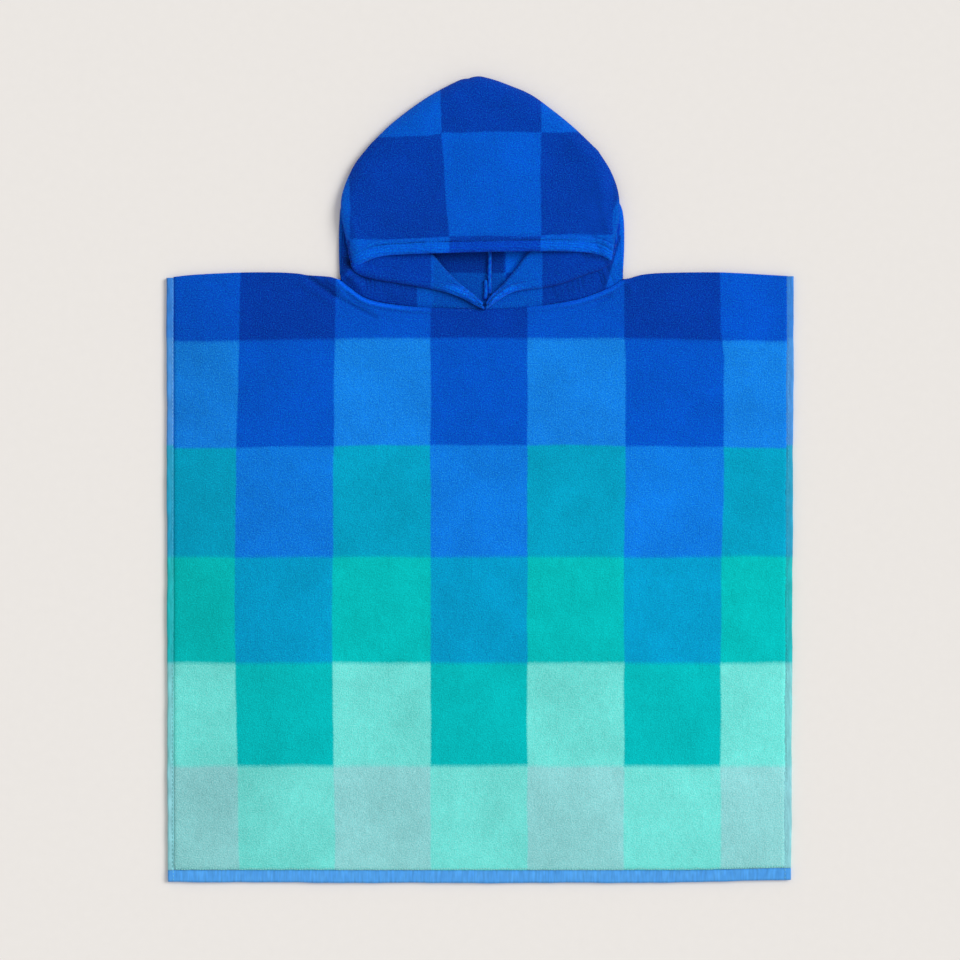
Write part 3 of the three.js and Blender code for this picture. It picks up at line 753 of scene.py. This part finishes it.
def inward_normals(points, centre):
    """Plan directions square to a line of points, towards the centre."""
    run = np.gradient(points, axis=0)
    normal = np.stack([-run[:, 1], run[:, 0]], -1)
    normal /= np.linalg.norm(normal, axis=1)[:, None]
    return normal * np.sign(((centre - points) * normal).sum(1))[:, None]


def plan_of(chain):
    """x and y of a chain of vertices, in millimetres."""
    return np.array([vert.co for vert in chain])[:, :2] / MM


def border(bm, u, v, sides):
    """The grid's edge vertices in order along the named sides."""
    verts = list(bm.verts)
    keys = {
        "left": (u < 1e-6, v), "top": (v > 1 - 1e-6, u),
        "right": (u > 1 - 1e-6, -v), "rim": (v < 1e-6, u),
    }
    chain = []
    for side in sides:
        chosen, order = keys[side]
        found = sorted(np.flatnonzero(chosen), key=lambda i: order[i])
        chain += [verts[i] for i in found if verts[i] not in chain[-1:]]
    return chain


CROWN_ACROSS = 140
CROWN_UP = 92
BACK_ACROSS = 110
BACK_UP = 84
# Rows of the crown's grid lie closer together at the rim
RIM_CROWDING = 1.3
# A layer starts smaller than its outline, by shares of the way to the hood's middle, so that its fold comes
# out at the outline. The back layer's sides have one share low down and one high up
CROWN_INSET = 0.008
BACK_SIDE_INSETS = (0.018, 0.034)
BACK_TOP_INSET = 0.02
# Turned edges, as steps inward and down from the edge
RIM_TURN = [(-0.9, 0.5), (-1.1, 1.4), (-0.5, 2.4), (1.0, 2.8), (8.0, 2.9)]
BACK_TURN = [(-1.2, -0.5), (-1.6, -1.5), (-1.1, -2.4), (1.4, -3.0), (5.0, -3.0)]
FOLD_ANGLES = np.radians([30, 60, 90])
FOLD_LANDING = 2.5


def crown_layer():
    """The layer on top, folded under round its outline and with its face edge turned in."""
    bm = unit_grid(CROWN_ACROSS, CROWN_UP)
    u, v, _ = places(bm)
    x, y = patch(CROWN_RIM, HOOD_TOP, CROWN_LEFT, CROWN_RIGHT, u, v**RIM_CROWDING).T
    x, y = mix(np.stack([x, y]), HOOD_CENTRE[:, None], CROWN_INSET)
    z = crown_z(x, y) + pile(len(x)) * smooth_step(distance_to(x, y, crown_outline), 0, 4)
    move_to(bm, np.stack([x, y, z], -1))
    outer = border(bm, u, v, ("left", "top", "right"))
    rim = border(bm, u, v, ("rim",))
    plan = plan_of(outer)
    fall = crown_edge_z(plan[:, 1]) - crown_end_z(plan[:, 1])
    reach = mix(2.0, 5.0, smooth_step(plan[:, 1], 250, 300))
    steps = [(reach * (1 - math.cos(angle)), fall * math.sin(angle)) for angle in FOLD_ANGLES]
    fold_under(bm, outer, inward_normals(plan, HOOD_CENTRE), [*steps, (reach + FOLD_LANDING, fall)])
    plan = plan_of(rim)
    whole = np.ones(len(plan))
    steps = [(inset * whole, drop * whole) for inset, drop in RIM_TURN]
    fold_under(bm, rim, inward_normals(plan, HOOD_CENTRE), steps)
    return bm


def back_layer():
    """The layer below, whose sides come up round the crown's edge as far as the fold stands high."""
    bm = unit_grid(BACK_ACROSS, BACK_UP)
    u, v, _ = places(bm)
    neck = [(px, py + LAYER_GAP) for px, py in NECK_SEAM]
    neck[0], neck[-1] = HOOD_LEFT[0], HOOD_RIGHT[0]
    x, y = patch(neck, HOOD_TOP, HOOD_LEFT, HOOD_RIGHT, u, v).T
    x = mix(x, HOOD_CENTRE[0], mix(*BACK_SIDE_INSETS, smooth_step(y, 268, 291)))
    y = mix(y, HOOD_CENTRE[1], BACK_TOP_INSET * smooth_step(y, 200, 290))
    z = np.full(len(x), TERRY / 2)
    move_to(bm, np.stack([x, y, z], -1))
    for side in ("left", "right"):
        chain = border(bm, u, v, (side,))
        plan = plan_of(chain)
        low = 1 - smooth_step(plan[:, 1], 267, 288)
        steps = [(inset * low, drop * low) for inset, drop in BACK_TURN]
        fold_under(bm, chain, inward_normals(plan, HOOD_CENTRE), steps)
    return bm


def joined(first, second):
    """Both bmeshes in one."""
    mesh = bpy.data.meshes.new("joining")
    second.to_mesh(mesh)
    second.free()
    first.from_mesh(mesh)
    bpy.data.meshes.remove(mesh)
    return first


BACK_CHECK_SHIFT = [133.3, 34.7]
# x where the back layer's right side starts to turn up, and shows the next column of the check
BACK_FOLD_X = 126


def crown_light_and_tone(x, y):
    """Painted light on the crown: a highlight on the rim's hem and lip with streaks, a dark seam, and shade
    in a strip at its right edge.
    """
    from_rim = distance_to(x, y, rim_line)
    streaks = 0.17 * np.sin(from_rim * 2.6 + 1.6 * np.sin(x / 9) + x / 5) * smooth_step(from_rim, 9.5, 8)
    seam = 0.34 * mound(from_rim - RIM_STITCH, 0.8) * (0.6 + 0.4 * np.sin(x / 6))
    # A painted highlight on the rim's hem, stronger in the middle, and on its lip
    pale = mix(0.32, 0.15, smooth_step(np.abs(x - 15), 40, 50))
    painted_light_and_tone = 1 + pale * smooth_step(from_rim, 9.6, 8) + 0.08 * mound(from_rim, 4)
    painted_light_and_tone += streaks - seam
    # Painted shade in a strip along the right edge
    return painted_light_and_tone - 0.2 * smooth_step(x, 130, 134) * smooth_step(from_rim, 8, 14) * (y < 300)


def back_painted_light(x):
    """Painted light on the back layer: shade inside the hood but for a lit strip, and a highlight where its
    side turns up.
    """
    lit_strip = smooth_step(x, 22, 27) * smooth_step(x, 60, 40)
    # A painted highlight where the side turns up
    outer_fold = 1.05 + 0.35 * mound(x - 135, 3)
    return np.where(x < BACK_FOLD_X, 0.72 + 0.5 * lit_strip, outer_fold)


def both_layers():
    """The hood's crown layer and back layer as one piece."""
    crown = crown_layer()
    crown_count = len(crown.verts)
    bm = joined(crown, back_layer())
    bmesh.ops.recalc_face_normals(bm, faces=bm.faces)
    x, y, _ = places(bm) / MM
    cloth = hood_cloth(x, y)
    cloth[crown_count:] += BACK_CHECK_SHIFT
    cloth[crown_count:, 0] += COLUMN_WIDTH * (x[crown_count:] > BACK_FOLD_X)
    painted_light_and_tone = crown_light_and_tone(x, y)
    painted_light_and_tone[crown_count:] = back_painted_light(x[crown_count:])
    return piece(bm, "hood_shell", cloth, hood_terry, ["hood"], TERRY, painted_light_and_tone)


hood = both_layers()

CHEEK_STEPS = 190
CHEEK_PATH = 72
CHEEK_CLOTH = TERRY * 0.92
CHEEK_PILE = PILE * 0.8
# Shares of the way over a cheek, from the neck seam to the turning line, round it, and back to the face edge.
# The rest turns the face edge under
BASE_SHARE = 0.42
BEND_SHARE = 0.08
LAPEL_SHARE = 0.42
CHEEK_SEAM_GAP = LAYER_GAP + 0.6
EDGE_ROLL = 1.1
# How far each cheek's check lies from that of the crown, the step it makes where the left cheek is turned
# back, and the cloth that runs round the outer fold
LEFT_CHECK_SHIFT = 121
RIGHT_CHECK_SHIFT = 93
TURNED_CHECK_SHIFT = 14
OUTER_FOLD_CLOTH = 32
OPENING_X = 3
# Painted light beside the cheeks: the right rim's shadow, and a highlight on a puff and shade in a hollow
# beside the left corner
UNDER_RIM = np.array([(104, 226.5), (125, 221.5)])
PUFF_HIGHLIGHT = np.array([(-137, 202), (-129, 208.5)])
HOLLOW_SHADE = (-133, 219)


def base_rise(run, base):
    """How far the part beside the neck seam stands up, with its small folds."""
    rise = 0.9 * np.sin(math.pi * np.clip(run * 1.15, 0, 1)) ** 0.8 - 1.1 * np.exp(-((run * 9) ** 2))
    return rise + folds(*base.T, BASE_FOLDS) * smooth_step(run, 0, 0.12)


def lapel_rise(run, lapel, from_edge, streaks, near_tip):
    """How far the turned back part stands up: its sewn hem, its rounded lip and its soft folds."""
    fade_in = np.minimum(1, run * 3)
    swell = 1.2 + 1.3 * np.sin(math.pi * np.clip(from_edge / 10, 0, 1))
    hem = (1.0 + (0.4 * streaks + swell) * near_tip) * (1 - smooth_step(from_edge, 8.5, 11)) * fade_in
    groove = -0.8 * mound(from_edge - CHEEK_HEM, 1.3) * fade_in * near_tip
    lip = -1.9 * (1 - rounded(from_edge / CHEEK_LIP)) * fade_in
    return hem + groove + lip + folds(*lapel.T, LAPEL_FOLDS) * fade_in


def cheek_cloth(plan, turned, check_shift):
    """Where a point of a cheek lies on the check, which steps aside where the left cheek is turned back."""
    x, y = plan.T
    slant = x + (218 - y) * 0.38
    across = x + check_shift - TURNED_CHECK_SHIFT * (turned & (x < OPENING_X))
    across = across + OUTER_FOLD_CLOTH * smooth_step(slant, 127, 136)
    return np.stack([across, np.where(np.abs(x - OPENING_X) > 122, np.minimum(y, 236), y)], -1)


def cheek_light_and_tone(plan, on_base, face_edge, hem):
    """Painted light on a cheek: shade in the opening, under what lies on it and in a hollow, highlights on
    its hem, a puff and beside the crown, with a lighter patch and corner.
    """
    x, y = plan.T
    # Painted shade in the face opening
    by_opening = smooth_step(x, -50, -45) * smooth_step(x, 14, 8)
    corner = 0.24 * smooth_step(x, -112, -122)
    paler_patch = 0.13 * mound(x + 60, 12)
    # Painted shadow under the right rim
    under_rim = mound(distance_to(x, y, UNDER_RIM), 3)
    lapel = 1 - 0.22 * by_opening + hem + corner + paler_patch - 0.4 * under_rim
    # Painted shade on the base: all over, near the opening, under the turned back edge and on the outer strip
    by_base = smooth_step(x, -70, -60) * smooth_step(x, 14, 8)
    under_edge = mound(distance_to(x, y, smooth_line(face_edge, 60)), 4.5)
    outer_strip = smooth_step(x, -122, -130)
    base = 0.92 - 0.06 * by_base - 0.12 * by_opening - (0.32 * under_edge + 0.16 * outer_strip) * (x < 6)
    # Painted shade in a hollow and a painted highlight on a puff, beside the left corner
    hollow = mound(x - HOLLOW_SHADE[0], 6) * mound(y - HOLLOW_SHADE[1], 9)
    base = base - 0.4 * hollow + 0.35 * mound(distance_to(x, y, PUFF_HIGHLIGHT), 2.2)
    # A painted highlight beside the crown's right edge
    beside_crown = mound(x - 136, 4) * smooth_step(y, 212, 224)
    return np.where(on_base, base, lapel) + 0.35 * beside_crown


def cheek(name, node, table, check_shift):
    """A cheek in one strip: up from the neck seam, over its turning line and back to its hemmed edge."""
    bm = unit_grid(CHEEK_STEPS, CHEEK_PATH)
    u, v, _ = places(bm)
    rows = np.array(table)
    seam_share = np.interp(u * (len(rows) - 1), np.arange(len(rows)), rows[:, 0])
    start = along(neck_line, seam_share) + [0, CHEEK_SEAM_GAP]
    edge = smooth_by_row(rows[:, 1:3], u)
    fold = smooth_by_row(rows[:, 3:5], u)
    outward = fold - start
    outward /= np.linalg.norm(outward, axis=1)[:, None]
    lapel_z = mix(LAPEL_Z, OUTER_LAPEL_Z, smooth_step(u, 0.66, 0.84))
    radius = (lapel_z - CHEEK_BASE_Z) / 2
    centre = fold - outward * radius[:, None]

    base_run = np.clip(v / BASE_SHARE, 0, 1)
    bend_run = np.clip((v - BASE_SHARE) / BEND_SHARE, 0, 1)
    lapel_run = np.clip((v - BASE_SHARE - BEND_SHARE) / LAPEL_SHARE, 0, 1)
    hem_share = 1 - BASE_SHARE - BEND_SHARE - LAPEL_SHARE
    turn = math.pi * np.clip((v - BASE_SHARE - BEND_SHARE - LAPEL_SHARE) / hem_share, 0, 1)
    angle = -math.pi / 2 + math.pi * bend_run
    base = mix(start, centre, base_run[:, None])
    bend = outward * (radius * np.cos(angle))[:, None]
    lapel = mix(centre, edge, lapel_run[:, None])
    plan = np.where((lapel_run > 0)[:, None], lapel, base + bend * (bend_run > 0)[:, None])

    from_edge = np.linalg.norm(edge - centre, axis=1) * (1 - lapel_run)
    streaks = np.sin(from_edge * 2.5 + 1.5 * np.sin(u * 37)) * (1 - smooth_step(from_edge, 8, 10))
    near_tip = 1 - smooth_step(u, 0.22, 0.36)
    bend_z = CHEEK_BASE_Z + radius * (1 + np.sin(angle))
    z = np.where(bend_run > 0, bend_z, CHEEK_BASE_Z + base_rise(base_run, base))
    lapel_top = lapel_z + lapel_rise(lapel_run, lapel, from_edge, streaks, near_tip)
    z = np.where(lapel_run > 0, lapel_top, z)

    back = centre - edge
    back /= np.maximum(np.linalg.norm(back, axis=1), 1e-6)[:, None]
    plan = plan - back * (EDGE_ROLL * np.sin(turn))[:, None]
    z = z - EDGE_ROLL * (1 - np.cos(turn)) + pile(len(u), CHEEK_PILE) * (turn <= 0)
    move_to(bm, np.column_stack([plan, z]))
    # A painted highlight on the hem near the opening
    hem_highlight = (0.32 + 0.2 * streaks) * near_tip * (1 - smooth_step(from_edge, 6, 12))
    painted_light_and_tone = cheek_light_and_tone(plan, v < BASE_SHARE, rows[:, 1:3], hem_highlight)
    cloth = cheek_cloth(plan, bend_run > 0, check_shift)
    return piece(bm, name, cloth, hood_terry, [node], CHEEK_CLOTH, painted_light_and_tone)


left_cheek = cheek("left_cheek", "hood_left_cheek", LEFT_CHEEK, LEFT_CHECK_SHIFT)
right_cheek = cheek("right_cheek", "hood_right_cheek", RIGHT_CHEEK, RIGHT_CHECK_SHIFT)


# How far the seam's allowances stand up, and half their width
BACK_SEAM_HEIGHT = 3.4
LOOSE_END_HEIGHT = 2.2
SEAM_HALF_WIDTH = 1.5
SEAM_CLOTH = 1.2


def ridge(table, height):
    """Seam allowances that stand up along a line."""
    line = smooth_line(table, 90)
    bm = unit_grid(4, len(line) - 1)
    u, v, _ = places(bm)
    plan = along(line, v)
    ends = np.sqrt(np.clip(np.minimum(v, 1 - v) * 14, 0, 1))
    x = plan[:, 0] + SEAM_HALF_WIDTH * (2 * u - 1) + 0.3 * np.sin(plan[:, 1] / 7)
    crest = np.sqrt(1 - (2 * u - 1) ** 2 * 0.9)
    z = TERRY + 0.6 + height * crest * ends + 0.2 * np.sin(plan[:, 1] / 5)
    move_to(bm, np.stack([x, plan[:, 1], z], -1))
    return bm


def back_seam():
    """The hood's centre back seam, with the loose end of its allowance beside it."""
    bm = joined(ridge(BACK_SEAM, BACK_SEAM_HEIGHT), ridge(LOOSE_SEAM_END, LOOSE_END_HEIGHT))
    x, y, _ = places(bm) / MM
    # The map is pressed together along y, so that the whole seam stays in one row of the check
    cloth = np.stack([x, mix(HOOD_CENTRE[1], y, 0.25)], -1)
    return piece(bm, "back_seam", cloth, hood_terry, ["hood_back_seam"], SEAM_CLOTH)


seam_ridge = back_seam()


# Stitches: short rounded threads on the cloth
def stitches(name, rows, look):
    """Stitches along lines of points in millimetres, each given with its stitch length and thread width."""
    bm = bmesh.new()
    for line, length, width in rows:
        total = np.linalg.norm(np.diff(line, axis=0), axis=1).sum()
        count = max(int(total / (length * 1.2)), 1)
        for share in (np.arange(count) + 0.5) / count:
            here, there = along(line, share), along(line, min(share + 0.5 / count, 1))
            turn = math.atan2(there[1] - here[1], there[0] - here[0])
            place = Matrix.Translation(Vector(here) * MM) @ Matrix.Rotation(turn, 4, "Z")
            shape = Matrix.Diagonal((length / 2 * MM, width / 2 * MM, width / 2 * MM, 1))
            bmesh.ops.create_icosphere(bm, subdivisions=1, radius=1, matrix=place @ shape)
    return piece(bm, name, None, look)


def straight(x0, y0, x1, y1, z, count=40):
    """Even points along a straight line at one height."""
    share = np.linspace(0, 1, count)
    return np.column_stack([mix(x0, x1, share), mix(y0, y1, share), np.full(count, z)])


# Top end of the side seams, and heights of the threads on the flat strips and on the leaf beside the hem band
SIDE_SEAM_TOP = 201
LEFT_THREAD_Z = 4.85
RIGHT_THREAD_Z = 4.8
HEM_THREAD_Z = 5.5
NECK_THREAD_Z = 6.2


def side_seam(side, z):
    """The line of stitches along a side hem, just outside the leaf's edge."""
    low, high = (edge + side for edge in PANEL_EDGES[side])
    return straight(low, PANEL_BOTTOM + 2, high, SIDE_SEAM_TOP, z)


left_side_stitches = stitches(
    "left_side_stitches", [(side_seam(-1, LEFT_THREAD_Z), 3.4, 0.6)], side_thread)
right_side_stitches = stitches(
    "right_side_stitches", [(side_seam(1, RIGHT_THREAD_Z), 3.4, 0.7)], lit_side_thread)
hem_plan = straight(-305, PANEL_BOTTOM + 1.4, 304, PANEL_BOTTOM + 1.4, HEM_THREAD_Z, 200)
hem_plan[:, 1] += hem_lift(hem_plan[:, 0]) + 0.5 * np.sin(hem_plan[:, 0] / 3.1)
band_ends = []
for x in (-307, 305.4):
    low_end = BOTTOM_EDGE + hem_lift(x) + 1.5
    band_ends.append((straight(x, low_end, x, PANEL_BOTTOM + hem_lift(x), LEFT_THREAD_Z, 6), 2.4, 0.5))
band_stitches = stitches("hem_band_stitches", [(hem_plan, 2.2, 1.2), *band_ends], mint_thread)
neck_rows = [
    (straight(-25, 172.6, -8, 171.8, NECK_THREAD_Z), 4.2, 0.5),
    (straight(-24, 170.2, -7, 169.8, NECK_THREAD_Z), 4.6, 0.5),
]
neck_stitches = stitches("neck_stitches", neck_rows, neck_thread)
rim_plan = rim_line + [0, RIM_STITCH]
rim_seam = np.column_stack([rim_plan, crown_z(*rim_plan.T) + TERRY / 2])[7:-10]
rim_stitches = stitches("hood_rim_stitches", [(rim_seam, 2.6, 0.6)], hood_thread)


# Floor, light and camera
def floor():
    """A wide sheet of matt paper, pale and plain, which takes soft shadows and has no shine."""
    bm = bmesh.new()
    bmesh.ops.create_grid(bm, x_segments=1, y_segments=1, size=40)
    mesh = bpy.data.meshes.new("floor")
    bm.to_mesh(mesh)
    bm.free()
    made, tree, shader = material("matt_paper", {"Roughness": 0.9, "Specular IOR Level": 0.1})
    paper = add(tree, "ShaderNodeTexCoord").outputs["Object"]
    fine = add(tree, "ShaderNodeTexNoise", {"Vector": paper, "Scale": 1 / (9 * MM)})
    tint = add(tree, "ShaderNodeMix", {
        "Factor": fine.outputs["Fac"], "A": linear("#e8e5e2"), "B": linear("#ebe8e5")}, data_type="RGBA")
    tree.links.new(tint.outputs["Result"], shader.inputs["Base Color"])
    mesh.materials.append(made)
    in_scene("floor", mesh)


def lamp(name, towards, spread, power, colour):
    """A distant soft light that shines from the given direction over a spread of degrees."""
    data = bpy.data.lights.new(name, "SUN")
    data.angle = math.radians(spread)
    data.energy = power
    data.color = colour
    made = in_scene(name, data)
    made.rotation_euler = Vector(towards).to_track_quat("Z", "Y").to_euler()


CAMERA_HEIGHT = 3.2
FRAME_WIDTH = 0.9625
# One soft light from the right and a little from the hood's end, with an even pale glow from all round
KEY_DIRECTION = (1.0, 0.42, 1.0)
KEY_SPREAD = 32
KEY_POWER = 1.98
ROUND_LIGHT = 0.59

floor()
lamp("key", KEY_DIRECTION, KEY_SPREAD, KEY_POWER, (1, 0.985, 0.965))
world = bpy.data.worlds.new("studio")
bpy.context.scene.world = world
world.use_nodes = True
world.node_tree.nodes["Background"].inputs["Color"].default_value = (1, 0.99, 0.98, 1)
world.node_tree.nodes["Background"].inputs["Strength"].default_value = ROUND_LIGHT

lens = bpy.data.cameras.new("camera")
lens.lens = lens.sensor_width * CAMERA_HEIGHT / FRAME_WIDTH
camera = in_scene("camera", lens)
camera.location = (0, 0, CAMERA_HEIGHT)
bpy.context.scene.camera = camera
bpy.context.scene.view_settings.view_transform = "Standard"
